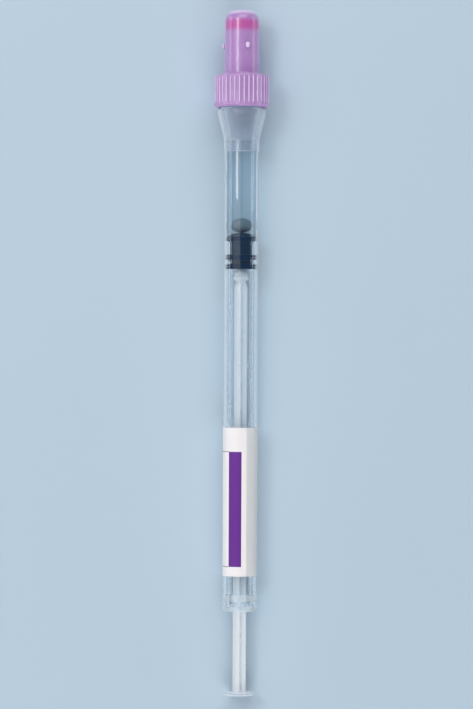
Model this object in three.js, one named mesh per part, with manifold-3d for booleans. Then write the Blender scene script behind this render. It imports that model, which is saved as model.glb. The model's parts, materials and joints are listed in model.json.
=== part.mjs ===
// Blood collection tube of the plunger kind, for a sedimentation test: a clear barrel with a
// frosted screw neck, a ribbed screw cap with a rubber septum, a piston on a snap-off rod,
// a loose mixing ball and a paper label. Millimetres, +Z up.
//
// Every piece is turned about its own +Y, which points along the tube from the thumb disc to
// the cap. Heights along the tube are measured from the bottom rim of the barrel. The whole
// tube then lies down on a table, as it comes to rest on the cap's skirt and the thumb disc.

import * as THREE from "three";
import { mergeVertices } from "three/addons/utils/BufferGeometryUtils.js";
import Module from "manifold-3d";

const wasm = await Module();
wasm.setup();

// ---- Driving dimensions ----

const TUBE_SECTORS = 36; // facets round the barrel, what slides in it and the cap's spigot
const SKIRT_SECTORS = 72; // facets round the cap's skirt, two for each rib
const SMALL_FILLET = 0.3; // a smaller fillet is one chamfer, a larger one two or three
const LARGE_FILLET = 0.8;

const RUNNING_GAP = 0.05; // radial, piston lips in the bore and neck sleeve on its spigot
const SEAT_GAP = 0.3; // axial, between pieces that stand face to face
const SNAP_GAP = 0.15; // all round, between snapped or pressed pieces
const BOND_GAP = 0.02; // under the label, and between the neck's sleeve and the shoulder

const BARREL = {
  length: 108.4, // bottom rim to the end of the spigot
  spigotLength: 2.6,
  spigotWall: 0.5,
  boreRadius: 3.1,
  bottomWall: 0.75, // the outside has moulding draft, so the wall thickens to the shoulder
  shoulderWall: 0.9,
  baseThickness: 1.4,
  baseRounding: 0.5,
  rodHoleGap: 0.18, // radial, round the rod's collar
  guideHeight: 1.0, // conical collar inside the base, round the rod hole
  guideWall: 0.35,
  guideTaper: 0.35,
  catchHeight: 2.45, // bead that stops the piston, its lower edge
  catchLength: 1.3,
  catchDepth: 0.28,
  catchNotches: 12,
  catchNotchWidth: 0.5,
};

const NECK = {
  sleeveWall: 0.4,
  coneLength: 5.2,
  collarStep: 0.9, // radial, from the threaded stretch out to the collar
  collarDraft: 0.1, // the collar is this much slimmer at its lower edge
  collarLength: 1.5,
  shoulderLength: 0.7,
  mouthLength: 4.5, // threaded stretch above the shoulder
  mouthBoreRadius: 4.0,
  mouthWall: 0.6, // the thread stands on it
  boreConeLength: 4.4,
  ledgeThickness: 0.5, // ring that the barrel's spigot stands against
};

const THREAD = {
  pitch: 2.4,
  depth: 0.5,
  rootWidth: 1.2,
  crestWidth: 0.7,
  crestGap: 0.2, // radial, each crest to the core it faces
  runOut: 0.12, // share of a turn over which an end fades
  lowest: 0.55, // lower end above the collar's shoulder
  neckLength: 3.1,
  capLength: 3.4,
  stepsInTurn: 26,
};

const CAP = {
  skirtWall: 1.05, // outside the thread's bore
  skirtLength: 7.6,
  skirtDrop: 0.5, // gap that shows between the skirt and the neck's collar
  skirtShoulder: 1.5, // rounding at the top of the skirt
  skirtEdge: 0.5, // rounding at its lower edge
  bandLength: 0.7, // plain band below the ribs
  ribs: 36,
  ribWidth: 0.42,
  fluteDepth: 0.26,
  spigotLength: 14.7,
  spigotDraft: 0.15, // the spigot is this much wider at its base
  seatWall: 0.65, // outside the septum's seat
  septumLedge: 0.2, // radial, the step that the septum's skirt stands over
  topChamfer: 1.45,
  topBevel: 1.25, // radial, from the spigot in to the flat face at the very top
  needleHoleRadius: 1.4,
  sealLipLength: 1.2, // lip that plugs the neck's mouth
  sealLipWall: 0.45,
};

const PIPS = {
  count: 3,
  firstAngle: 18.2, // degrees from the upper side of the lying tube
  height: 6.6, // above the skirt's top
  reach: 0.74,
  width: 1.1,
  length: 1.5,
};

const SEPTUM = {
  radius: 3.2,
  thickness: 1.5,
  rimHeight: 0.9, // skirt below the membrane
  rimWall: 0.75,
  belowTop: 1.75, // its upper face below the cap's top
  edge: 0.3,
};

const PISTON = {
  rest: 78.7, // underside of the lowest lip above the bottom rim
  grooveDepth: 0.45, // radial, from the lips in to the core
  lips: [
    { from: 0, to: 1.1 },
    { from: 2.2, to: 3.25 },
    { from: 6.5, to: 7.4 },
  ],
  lipFlare: 0.55, // axial length over which the core widens into a lip
  lipRounding: 0.25,
  domeStep: 0.45, // radial, from the top lip in to the dome
  domeHeight: 0.9,
  socketMouthRadius: 1.15,
  socketMouthLength: 0.8,
  socketRadius: 1.55,
  socketLength: 2.1,
};

const ROD = {
  tipRadius: 1.53, // of the cross-shaped section
  ribThickness: 0.95,
  ribEdge: 0.16,
  turn: -20, // degrees that the front rib is turned to the left
  shaftLength: 94.3, // thumb disc to the snap-off neck
  breakRadius: 1.05,
  flareLength: 1.1,
  headCollarStep: 0.27, // radial, from the ribs' tips out to the collar
  headCollarLength: 1.7,
  headStep: 0.07, // radial, from the ribs' tips in to the head
  headBelowPiston: 3.1, // snap-off neck below the piston's lowest lip
  headDome: 0.8,
  discRadius: 3.5,
  discThickness: 0.62,
  discRounding: 0.2,
  nubHeight: 75.2, // four small stops, above the disc
  nubRadius: 0.45,
  nubReach: 0.25,
};

const BALL = { radius: 1.7, gap: 0.1 };

const LABEL = {
  low: 8.2,
  length: 34.1,
  thickness: 0.09,
  windowFrom: 21.6, // degrees from the upper side: front edge of the wrap
  windowTo: 98, // its other edge, on the far side
  cornerRadius: 0.7,
};

// ---- Heights and sizes that follow from them ----

const HEAD_COLLAR_RADIUS = ROD.tipRadius + ROD.headCollarStep;
const ROD_HOLE_RADIUS = HEAD_COLLAR_RADIUS + BARREL.rodHoleGap;
const BARREL_SHOULDER = BARREL.length - BARREL.spigotLength;
const SPIGOT_RADIUS = BARREL.boreRadius + BARREL.spigotWall;
const SLEEVE_BORE_RADIUS = SPIGOT_RADIUS + RUNNING_GAP;
const SLEEVE_RADIUS = SLEEVE_BORE_RADIUS + NECK.sleeveWall;
const SLEEVE_LENGTH = BARREL.spigotLength + SEAT_GAP;
const NECK_SHOULDER = SLEEVE_LENGTH + NECK.coneLength + NECK.collarLength;
const NECK_THREAD_START = NECK_SHOULDER + NECK.shoulderLength;
const NECK_LENGTH = NECK_THREAD_START + NECK.mouthLength;
const NECK_THREAD_RADIUS = NECK.mouthBoreRadius + NECK.mouthWall;

const CAP_HEIGHT = BARREL_SHOULDER + NECK_SHOULDER + CAP.skirtDrop;
const NECK_SHOULDER_IN_CAP = -CAP.skirtDrop;
const THREAD_LOW = NECK_SHOULDER_IN_CAP + NECK.shoulderLength + THREAD.lowest;
const CAP_DECK = NECK_SHOULDER_IN_CAP + NECK.shoulderLength + NECK.mouthLength + SEAT_GAP;
const CAP_THREAD_BORE = NECK_THREAD_RADIUS + THREAD.depth + THREAD.crestGap;
const SKIRT_RADIUS = CAP_THREAD_BORE + CAP.skirtWall;
const CAP_TOP = CAP.skirtLength + CAP.spigotLength;
const SEPTUM_TOP = CAP_TOP - SEPTUM.belowTop;
const SEPTUM_LENGTH = SEPTUM.thickness + SEPTUM.rimHeight;
const SEPTUM_SEAT_RADIUS = SEPTUM.radius + RUNNING_GAP;
const CAP_SPIGOT_TOP_RADIUS = SEPTUM_SEAT_RADIUS + CAP.seatWall;
const CAP_SPIGOT_BASE_RADIUS = CAP_SPIGOT_TOP_RADIUS + CAP.spigotDraft;

const LIP_RADIUS = BARREL.boreRadius - RUNNING_GAP;
const DOME_RADIUS = LIP_RADIUS - PISTON.domeStep;
const PISTON_TOP = PISTON.lips.at(-1).to;
const ROD_BREAK = -ROD.headBelowPiston;
const DISC_FACE = ROD_BREAK - ROD.shaftLength;

const COLOURS = {
  cap: 0xc6a4d8,
  septum: 0xbb4f9f,
  neck: 0xc9d6e4,
  barrel: 0xdfe9f0,
  piston: 0x0b2238,
  rod: 0xdfe5ea,
  ball: 0x8f9a9c,
  label: 0xf4f1f1,
};

// ---- Geometry helpers ----

const radians = THREE.MathUtils.degToRad;

/** Rounds the corners [x, y, fillet] of an outline and gives its points. */
function outline(corners, closed) {
  const at = (i) => new THREE.Vector2(...corners[(i + corners.length) % corners.length]);
  const points = [];
  corners.forEach(([x, y, fillet = 0], i) => {
    const corner = new THREE.Vector2(x, y);
    const isEnd = !closed && (i === 0 || i === corners.length - 1);
    if (!fillet || isEnd) return points.push(corner);
    const back = at(i - 1).sub(corner);
    const ahead = at(i + 1).sub(corner);
    const reach = Math.min(fillet, back.length() / 2, ahead.length() / 2);
    const start = corner.clone().addScaledVector(back.normalize(), reach);
    const end = corner.clone().addScaledVector(ahead.normalize(), reach);
    const steps = reach < SMALL_FILLET ? 1 : reach < LARGE_FILLET ? 2 : 3;
    points.push(...new THREE.QuadraticBezierCurve(start, corner, end).getPoints(steps));
  });
  return points;
}

/** A closed three.js geometry as a solid that can be joined and cut. */
function solid(geometry) {
  const loose = geometry.index ? geometry.toNonIndexed() : geometry;
  const bare = new THREE.BufferGeometry();
  bare.setAttribute("position", loose.getAttribute("position"));
  const merged = mergeVertices(bare, 1e-4);
  return new wasm.Manifold(
    new wasm.Mesh({
      numProp: 3,
      vertProperties: merged.attributes.position.array,
      triVerts: new Uint32Array(merged.index.array),
    }),
  );
}

/** Turns points about +Y, with a flat facet at the very bottom of the lying tube. */
function turned(points, sectors) {
  return solid(new THREE.LatheGeometry(points, sectors, Math.PI / sectors));
}

/** A ring: its section [radius, height, fillet] runs anticlockwise and closes on itself. */
function ring(corners, sectors = TUBE_SECTORS) {
  const points = outline(corners, true);
  return turned([...points, points[0]], sectors);
}

/** A spindle: its section runs from the axis below, up the outside, back to the axis. */
function spindle(corners, sectors = TUBE_SECTORS) {
  return turned(outline(corners, false), sectors);
}

/** A prism along +Y over an outline of [x, z, fillet] corners. */
function prism(corners, low, high) {
  const shape = new THREE.Shape(outline(corners, true));
  const geometry = new THREE.ExtrudeGeometry(shape, { depth: high - low, bevelEnabled: false });
  return solid(geometry.rotateX(-Math.PI / 2).translate(0, low, 0));
}

/** A copy of a geometry's solid, turned about +Y by an angle in degrees. */
function aboutAxis(geometry, degrees) {
  return solid(geometry.clone().rotateY(radians(degrees)));
}

/** The angles, in degrees, of copies spaced evenly round the axis. */
function evenly(count, first = 0) {
  return Array.from({ length: count }, (_, i) => first + (360 / count) * i);
}

/**
 * A right-hand thread ridge: a trapezoid swept along a helix. It stands on `root` and ends
 * at `crest`, and `phase` is the height at which its helix passes over angle zero.
 */
function threadRidge({ root, crest, phase, low, high }) {
  const inward = Math.sign(root - crest);
  const sunk = root + 0.1 * inward; // foot inside the wall that carries it
  const half = THREAD.rootWidth / 2;
  const tip = THREAD.crestWidth / 2;
  const section = new THREE.Shape(
    [[sunk, -half], [root, -half], [crest, -tip], [crest, tip], [root, half], [sunk, half]].map(
      ([x, y]) => new THREE.Vector2(x, y),
    ),
  );
  const turns = (high - low) / THREAD.pitch;
  const steps = Math.ceil(turns * THREAD.stepsInTurn);
  const ridge = new THREE.ExtrudeGeometry(section, { depth: turns, steps, bevelEnabled: false });
  const place = ridge.getAttribute("position");
  for (let i = 0; i < place.count; i++) {
    const along = place.getZ(i);
    const height = high - along * THREAD.pitch;
    const angle = (2 * Math.PI * (height - phase)) / THREAD.pitch;
    const fade = Math.min(1, 0.2 + along / THREAD.runOut, 0.2 + (turns - along) / THREAD.runOut);
    const reach = place.getX(i);
    const proud = inward * (root - reach) > 0;
    const radius = proud ? root + (reach - root) * fade : reach;
    place.setXYZ(i, radius * Math.sin(angle), height + place.getY(i), radius * Math.cos(angle));
  }
  return solid(ridge);
}

/** A named mesh of a solid, in its own colour. */
function piece(name, shape, material) {
  const { vertProperties, triVerts } = shape.getMesh();
  const geometry = new THREE.BufferGeometry();
  geometry.setAttribute("position", new THREE.BufferAttribute(vertProperties, 3));
  geometry.setIndex(new THREE.BufferAttribute(triVerts, 1));
  geometry.computeVertexNormals();
  const mesh = new THREE.Mesh(geometry, new THREE.MeshStandardMaterial(material));
  mesh.name = name;
  return mesh;
}

// ---- The tube: barrel, neck and label ----

/** Outside radius of the barrel at a height, with its moulding draft. */
function barrelRadius(height) {
  const { boreRadius, bottomWall, shoulderWall } = BARREL;
  return boreRadius + THREE.MathUtils.lerp(bottomWall, shoulderWall, height / BARREL_SHOULDER);
}

function barrel() {
  const { boreRadius, baseThickness, guideWall, guideTaper } = BARREL;
  const guideTop = baseThickness + BARREL.guideHeight;
  const wall = ring([
    [ROD_HOLE_RADIUS, 0, 0.2],
    [barrelRadius(0), 0, BARREL.baseRounding],
    [barrelRadius(BARREL_SHOULDER), BARREL_SHOULDER, 0.12],
    [SPIGOT_RADIUS, BARREL_SHOULDER],
    [SPIGOT_RADIUS, BARREL.length, 0.12],
    [boreRadius, BARREL.length],
    [boreRadius, baseThickness],
    [ROD_HOLE_RADIUS + guideWall + guideTaper, baseThickness],
    [ROD_HOLE_RADIUS + guideWall, guideTop],
    [ROD_HOLE_RADIUS, guideTop],
  ]);
  return wall.add(catchBead());
}

/** The notched bead inside the barrel that stops the drawn piston. */
function catchBead() {
  const { boreRadius, catchHeight, catchLength, catchDepth, catchNotchWidth } = BARREL;
  const top = catchHeight + catchLength;
  const sunk = boreRadius + 0.2;
  let bead = ring([
    [boreRadius - catchDepth, catchHeight + catchLength * 0.3],
    [sunk, catchHeight],
    [sunk, top],
    [boreRadius - catchDepth, catchHeight + catchLength * 0.7],
  ]);
  const notch = new THREE.BoxGeometry(catchNotchWidth, 2 * catchLength, boreRadius)
    .translate(0, catchHeight + catchLength / 2, boreRadius / 2);
  for (const angle of evenly(BARREL.catchNotches)) bead = bead.subtract(aboutAxis(notch, angle));
  return bead;
}

function neck() {
  const coneTop = SLEEVE_LENGTH + NECK.coneLength;
  const ledgeTop = SLEEVE_LENGTH + NECK.ledgeThickness;
  const collarRadius = NECK_THREAD_RADIUS + NECK.collarStep;
  const body = ring([
    [SLEEVE_BORE_RADIUS, 0],
    [SLEEVE_RADIUS, 0, 0.1],
    [SLEEVE_RADIUS, SLEEVE_LENGTH, 1],
    [collarRadius - NECK.collarDraft, coneTop, 1.2],
    [collarRadius, NECK_SHOULDER, 0.25],
    [NECK_THREAD_RADIUS, NECK_THREAD_START],
    [NECK_THREAD_RADIUS, NECK_LENGTH, 0.2],
    [NECK.mouthBoreRadius, NECK_LENGTH, 0.15],
    [NECK.mouthBoreRadius, ledgeTop + NECK.boreConeLength, 1],
    [BARREL.boreRadius, ledgeTop, 0.6],
    [BARREL.boreRadius, SLEEVE_LENGTH],
    [SLEEVE_BORE_RADIUS, SLEEVE_LENGTH],
  ]);
  const low = NECK_THREAD_START + THREAD.lowest;
  const thread = threadRidge({
    root: NECK_THREAD_RADIUS,
    crest: NECK_THREAD_RADIUS + THREAD.depth,
    phase: low,
    low,
    high: low + THREAD.neckLength,
  });
  return body.add(thread);
}

/** A paper wrap with an open window between its two upright edges. */
function label() {
  const top = LABEL.low + LABEL.length;
  const inner = (height) => barrelRadius(height) + BOND_GAP;
  const wrap = ring([
    [inner(LABEL.low), LABEL.low],
    [inner(LABEL.low) + LABEL.thickness, LABEL.low],
    [inner(top) + LABEL.thickness, top],
    [inner(top), top],
  ]);
  return wrap.subtract(labelWindow(top));
}

/** What the wrap leaves bare: its four corners flare, which rounds the paper's corners. */
function labelWindow(top) {
  const { cornerRadius, windowFrom, windowTo, low } = LABEL;
  const spare = 1;
  const half = barrelRadius(top) * Math.sin(radians((windowTo - windowFrom) / 2));
  const side = (sign) => [
    [sign * (half + cornerRadius), low - spare],
    [sign * (half + cornerRadius), low],
    [sign * half, low + cornerRadius],
    [sign * half, top - cornerRadius],
    [sign * (half + cornerRadius), top],
    [sign * (half + cornerRadius), top + spare],
  ];
  const corners = [...side(1), ...side(-1).reverse()];
  const shape = new THREE.Shape(outline(corners.map(([x, y]) => [x, y, cornerRadius]), true));
  const depth = 2 * barrelRadius(top);
  const cutter = new THREE.ExtrudeGeometry(shape, { depth, bevelEnabled: false });
  return aboutAxis(cutter, (windowFrom + windowTo) / 2);
}

// ---- The plunger: piston, snap-off rod and mixing ball. Heights from the lowest lip. ----

/** Sphere that the piston's domed top is part of: its radius and its centre's height. */
function pistonDome() {
  const { domeHeight } = PISTON;
  const radius = (DOME_RADIUS ** 2 + domeHeight ** 2) / (2 * domeHeight);
  return { radius, centre: PISTON_TOP + domeHeight - radius };
}

function piston() {
  const { grooveDepth, lips, lipFlare, lipRounding, socketMouthLength } = PISTON;
  const coreRadius = LIP_RADIUS - grooveDepth;
  const side = lips.flatMap(({ from, to }, i) => [
    ...(i ? [[coreRadius, from - lipFlare, 0.2]] : []),
    [LIP_RADIUS, from, lipRounding],
    [LIP_RADIUS, to, lipRounding],
    ...(i < lips.length - 1 ? [[coreRadius, to + lipFlare / 4, 0.1]] : []),
  ]);
  const dome = pistonDome();
  const crown = [0.9, 0.6, 0.3, 0].map((share) => {
    const radius = DOME_RADIUS * share;
    return [radius, dome.centre + Math.sqrt(dome.radius ** 2 - radius ** 2)];
  });
  const cavityTop = socketMouthLength + PISTON.socketLength;
  return spindle([
    [0, cavityTop],
    [PISTON.socketRadius, cavityTop, 0.4],
    [PISTON.socketRadius, socketMouthLength, 0.3],
    [PISTON.socketMouthRadius, socketMouthLength - 0.2],
    [PISTON.socketMouthRadius, 0, 0.15],
    ...side,
    [DOME_RADIUS, PISTON_TOP],
    ...crown,
  ]);
}

function plungerRod() {
  return rodShaft().add(rodHead()).add(rodDisc()).add(rodNubs());
}

/** The cross-shaped shaft, which tapers in to the snap-off neck at its upper end. */
function rodShaft() {
  const { tipRadius: tip, ribEdge: edge, flareLength } = ROD;
  const half = ROD.ribThickness / 2;
  const arm = [[half, half, 0.1], [half, tip, edge], [-half, tip, edge]];
  const corners = evenly(4).flatMap((angle) => {
    const spin = (x, y) => new THREE.Vector2(x, y).rotateAround(new THREE.Vector2(), radians(angle));
    return arm.map(([x, y, fillet]) => [...spin(x, y).toArray(), fillet]);
  });
  const cross = prism(corners, DISC_FACE - ROD.discThickness / 2, ROD_BREAK);
  const envelope = spindle([
    [0, DISC_FACE - ROD.discThickness],
    [tip + 0.2, DISC_FACE - ROD.discThickness],
    [tip + 0.2, ROD_BREAK - flareLength - 0.1],
    [ROD.breakRadius, ROD_BREAK, 0.2],
    [0, ROD_BREAK],
  ]);
  return cross.intersect(envelope);
}

/** The round head: snap-off neck, collar, and the stem that snaps into the piston. */
function rodHead() {
  const { breakRadius, headCollarLength, headDome } = ROD;
  const headRadius = ROD.tipRadius - ROD.headStep;
  const collarTop = ROD_BREAK + headCollarLength;
  const stem = PISTON.socketMouthRadius - SNAP_GAP;
  const bead = PISTON.socketRadius - SNAP_GAP;
  const beadLow = PISTON.socketMouthLength + SNAP_GAP;
  const stemTop = PISTON.socketMouthLength + PISTON.socketLength - SNAP_GAP;
  return spindle([
    [0, ROD_BREAK - 0.3],
    [breakRadius, ROD_BREAK - 0.3],
    [breakRadius, ROD_BREAK + 0.15, 0.1],
    [HEAD_COLLAR_RADIUS, ROD_BREAK + headCollarLength * 0.45, 0.2],
    [HEAD_COLLAR_RADIUS, ROD_BREAK + headCollarLength * 0.7, 0.2],
    [headRadius, collarTop, 0.1],
    [headRadius, -headDome, 0.4],
    [stem, -SNAP_GAP, 0.2],
    [stem, beadLow],
    [bead, beadLow + 0.5, 0.2],
    [bead, stemTop, 0.5],
    [0, stemTop],
  ], TUBE_SECTORS / 2);
}

function rodDisc() {
  const { discRadius, discThickness, discRounding } = ROD;
  return spindle([
    [0, DISC_FACE - discThickness],
    [discRadius, DISC_FACE - discThickness, discRounding],
    [discRadius, DISC_FACE, discRounding],
    [0, DISC_FACE],
  ]);
}

/** A small stop on each rib, which keeps the rod from falling back. */
function rodNubs() {
  const { nubRadius, nubReach, tipRadius } = ROD;
  const nub = new THREE.SphereGeometry(nubRadius, 8, 6)
    .translate(0, DISC_FACE + ROD.nubHeight, tipRadius + nubReach - nubRadius);
  return wasm.Manifold.union(evenly(4).map((angle) => aboutAxis(nub, angle)));
}

function mixingBall() {
  return solid(new THREE.SphereGeometry(BALL.radius, 18, 12));
}

/** The ball lies on the bore's lowest line, against the piston's dome. */
function ballRest() {
  const dome = pistonDome();
  const below = BARREL.boreRadius - BALL.radius - BALL.gap;
  const apart = dome.radius + BALL.radius + BALL.gap;
  return { height: dome.centre + Math.sqrt(apart ** 2 - below ** 2), below };
}

// ---- The cap: ribbed screw cap and septum. Heights from the skirt's lower edge. ----

function screwCap() {
  const thread = threadRidge({
    root: CAP_THREAD_BORE,
    crest: CAP_THREAD_BORE - THREAD.depth,
    phase: THREAD_LOW + THREAD.pitch / 2,
    low: THREAD_LOW - 0.1,
    high: THREAD_LOW - 0.1 + THREAD.capLength,
  });
  return capShell().subtract(capFlutes()).add(thread).add(capPips());
}

/** The turned moulding: skirt and spigot outside, less the hollow inside them. */
function capShell() {
  const { skirtLength } = CAP;
  const skirt = spindle([
    [0, 0],
    [SKIRT_RADIUS, 0, CAP.skirtEdge],
    [SKIRT_RADIUS, skirtLength, CAP.skirtShoulder],
    [0, skirtLength],
  ], SKIRT_SECTORS);
  const spigot = spindle([
    [0, CAP_DECK],
    [CAP_SPIGOT_BASE_RADIUS + 0.3, CAP_DECK],
    [CAP_SPIGOT_BASE_RADIUS + 0.3, skirtLength],
    [CAP_SPIGOT_BASE_RADIUS, skirtLength + 0.3],
    [CAP_SPIGOT_TOP_RADIUS, CAP_TOP - CAP.topChamfer, 0.9],
    [CAP_SPIGOT_TOP_RADIUS - CAP.topBevel, CAP_TOP, 0.4],
    [0, CAP_TOP],
  ]);
  return skirt.add(spigot).subtract(capHollow());
}

/** Thread bore, seal lip, spigot bore, septum seat and needle hole, from below. */
function capHollow() {
  const { needleHoleRadius, sealLipLength, sealLipWall } = CAP;
  const spigotBoreRadius = SEPTUM.radius - CAP.septumLedge;
  const lipRadius = NECK.mouthBoreRadius - SNAP_GAP;
  const lipLow = CAP_DECK - SEAT_GAP - sealLipLength;
  const seatTop = SEPTUM_TOP + SNAP_GAP;
  const seatLow = SEPTUM_TOP - SEPTUM_LENGTH - SNAP_GAP;
  const beyond = 1;
  const threaded = spindle([
    [0, -beyond],
    [CAP_THREAD_BORE, -beyond],
    [CAP_THREAD_BORE, CAP_DECK, 0.2],
    [0, CAP_DECK],
  ]);
  const lip = ring([
    [lipRadius - sealLipWall, lipLow],
    [lipRadius, lipLow, 0.15],
    [lipRadius, CAP_DECK + SNAP_GAP],
    [spigotBoreRadius, CAP_DECK + SNAP_GAP],
  ]);
  const bore = spindle([
    [0, CAP_DECK - 2 * SNAP_GAP],
    [spigotBoreRadius, CAP_DECK - 2 * SNAP_GAP],
    [spigotBoreRadius, seatLow - 0.25],
    [SEPTUM_SEAT_RADIUS, seatLow],
    [SEPTUM_SEAT_RADIUS, seatTop],
    [needleHoleRadius, seatTop],
    [needleHoleRadius, CAP_TOP + beyond],
    [0, CAP_TOP + beyond],
  ]);
  return threaded.subtract(lip).add(bore);
}

/** The grooves between the ribs, which stop at the plain band. */
function capFlutes() {
  const { fluteDepth, ribs, ribWidth, bandLength, skirtLength } = CAP;
  const floor = SKIRT_RADIUS - fluteDepth;
  const half = (SKIRT_RADIUS * Math.PI) / ribs - ribWidth / 2;
  const corners = [
    [-half, floor],
    [half, floor],
    [half + 0.15, SKIRT_RADIUS + 0.3],
    [-half - 0.15, SKIRT_RADIUS + 0.3],
  ];
  const section = new THREE.Shape(corners.map(([x, y]) => new THREE.Vector2(x, y)));
  const depth = skirtLength;
  const flute = new THREE.ExtrudeGeometry(section, { depth, bevelEnabled: false })
    .rotateX(-Math.PI / 2)
    .translate(0, bandLength, 0);
  return wasm.Manifold.union(evenly(ribs).map((angle) => aboutAxis(flute, angle)));
}

/** Three rounded bayonet pips round the spigot. */
function capPips() {
  const { skirtLength, spigotLength } = CAP;
  const share = PIPS.height / spigotLength;
  const wall = THREE.MathUtils.lerp(CAP_SPIGOT_BASE_RADIUS, CAP_SPIGOT_TOP_RADIUS, share);
  const pip = new THREE.SphereGeometry(0.5, 10, 8)
    .scale(PIPS.width, PIPS.length, 2 * PIPS.reach)
    .translate(0, skirtLength + PIPS.height, wall);
  const angles = evenly(PIPS.count, PIPS.firstAngle);
  return wasm.Manifold.union(angles.map((angle) => aboutAxis(pip, angle)));
}

/** The rubber membrane: a disc with a short skirt, which the needle goes through. */
function septum() {
  const { radius, rimWall, rimHeight, edge } = SEPTUM;
  return spindle([
    [0, rimHeight],
    [radius - rimWall, rimHeight, edge],
    [radius - rimWall, 0],
    [radius, 0, edge],
    [radius, SEPTUM_LENGTH, edge],
    [0, SEPTUM_LENGTH],
  ]);
}

// ---- Assembly ----

/** How far the tube tips as it lies: the slope of the line that it rests on. */
function restingSlope(group) {
  const low = new Map();
  const point = new THREE.Vector3();
  group.traverse((mesh) => {
    if (!mesh.isMesh) return;
    const place = mesh.geometry.getAttribute("position");
    for (let i = 0; i < place.count; i++) {
      point.fromBufferAttribute(place, i).applyMatrix4(mesh.matrixWorld);
      low.set(point.y, Math.min(point.z, low.get(point.y) ?? Infinity));
    }
  });
  const points = [...low].sort((a, b) => a[0] - b[0]);
  const middle = (points[0][0] + points.at(-1)[0]) / 2;
  const left = points.filter(([y]) => y < middle);
  const right = points.filter(([y]) => y >= middle);
  const slope = (a, b) => (b[1] - a[1]) / (b[0] - a[0]);
  let [foot, head] = [left[0], right[0]];
  for (let pass = 0; pass < 8; pass++) {
    foot = left.reduce((best, p) => (slope(p, head) > slope(best, head) ? p : best));
    head = right.reduce((best, p) => (slope(foot, p) < slope(foot, best) ? p : best));
  }
  return slope(foot, head);
}

const glossy = { roughness: 0.25, metalness: 0 };
const matte = { roughness: 0.65, metalness: 0 };

const body = new THREE.Group();
const neckMesh = piece("neck", neck(), { ...matte, color: COLOURS.neck });
neckMesh.position.y = BARREL_SHOULDER + BOND_GAP;
body.add(
  piece("barrel", barrel(), { ...glossy, color: COLOURS.barrel }),
  neckMesh,
  piece("label", label(), { ...matte, color: COLOURS.label }),
);

const plunger = new THREE.Group();
plunger.position.y = PISTON.rest;
const rodMesh = piece("plunger_rod", plungerRod(), { ...glossy, color: COLOURS.rod });
rodMesh.rotation.y = radians(ROD.turn);
const ballMesh = piece("mixing_ball", mixingBall(), { ...glossy, color: COLOURS.ball });
ballMesh.position.set(0, ballRest().height, -ballRest().below);
plunger.add(piece("piston", piston(), { ...glossy, color: COLOURS.piston }), rodMesh, ballMesh);

const cap = new THREE.Group();
cap.position.y = CAP_HEIGHT;
const septumMesh = piece("septum", septum(), { ...matte, color: COLOURS.septum });
septumMesh.position.y = SEPTUM_TOP - SEPTUM_LENGTH;
cap.add(piece("screw_cap", screwCap(), { ...glossy, color: COLOURS.cap }), septumMesh);

const tube = new THREE.Group();
tube.add(body, plunger, cap);
tube.updateMatrixWorld(true);
tube.rotation.x = -Math.atan(restingSlope(tube));
tube.updateMatrixWorld(true);
const extent = new THREE.Box3().setFromObject(tube, true);
const middle = extent.getCenter(new THREE.Vector3());
tube.position.set(-middle.x, -middle.y, -extent.min.z);

const part = new THREE.Group();
part.add(tube);

export default part;
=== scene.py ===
"""Builds the looks of a blood collection tube that lies on a pale bench.

Every piece is modelled in millimetres about the tube's own line: +Z runs from the bottom rim to
the cap, +Y points down to the bench, and +X is across. An angle round the line is counted from
the upper side towards +X. A finished piece is placed in the row frame, in metres.
"""
import json
import logging
import math
from collections import defaultdict
from collections.abc import Callable, Sequence
from dataclasses import dataclass, field
from enum import Enum

import bmesh
import bpy
from mathutils import Matrix, Vector


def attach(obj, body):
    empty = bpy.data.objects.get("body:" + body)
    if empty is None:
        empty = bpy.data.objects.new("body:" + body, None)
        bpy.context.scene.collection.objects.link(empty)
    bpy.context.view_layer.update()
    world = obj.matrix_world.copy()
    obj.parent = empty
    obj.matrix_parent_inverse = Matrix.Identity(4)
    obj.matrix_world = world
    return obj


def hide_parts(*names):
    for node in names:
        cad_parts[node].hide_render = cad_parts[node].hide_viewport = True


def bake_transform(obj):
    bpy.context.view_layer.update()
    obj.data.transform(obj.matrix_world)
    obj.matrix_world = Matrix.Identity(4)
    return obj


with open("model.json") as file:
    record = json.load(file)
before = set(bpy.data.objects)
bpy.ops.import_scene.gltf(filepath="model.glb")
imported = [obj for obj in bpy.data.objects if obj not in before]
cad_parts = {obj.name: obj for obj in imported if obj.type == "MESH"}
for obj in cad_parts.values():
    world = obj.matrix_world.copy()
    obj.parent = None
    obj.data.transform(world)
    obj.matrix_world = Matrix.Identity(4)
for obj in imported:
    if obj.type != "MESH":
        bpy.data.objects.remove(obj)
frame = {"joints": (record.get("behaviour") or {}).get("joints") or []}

log = logging.getLogger("collection_tube")

Corner = tuple[float, ...]
Srgb = tuple[int, int, int]

MM = 0.001
CAP_HEIGHT = 115.9  # the cap's lower edge above the bottom rim
PISTON_REST = 78.7  # the piston's lowest lip above the bottom rim
NO_DISTANCE = 1e-4  # what counts as the same place
WELD_REACH = 5e-4  # how near two points are merged


def lerp(low: float, high: float, share: float) -> float:
    """Mixes two numbers."""
    return low + (high - low) * share


def linear(colour: Srgb) -> tuple[float, float, float, float]:
    """Turns a display colour into the linear one that shaders take.

    Args:
        colour: Red, green and blue from 0 to 255.

    Returns:
        Linear red, green, blue and a full alpha.
    """
    shown = [c / 255 for c in colour]
    parts = [c / 12.92 if c <= 0.04045 else ((c + 0.055) / 1.055) ** 2.4 for c in shown]
    return (*parts, 1.0)


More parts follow.
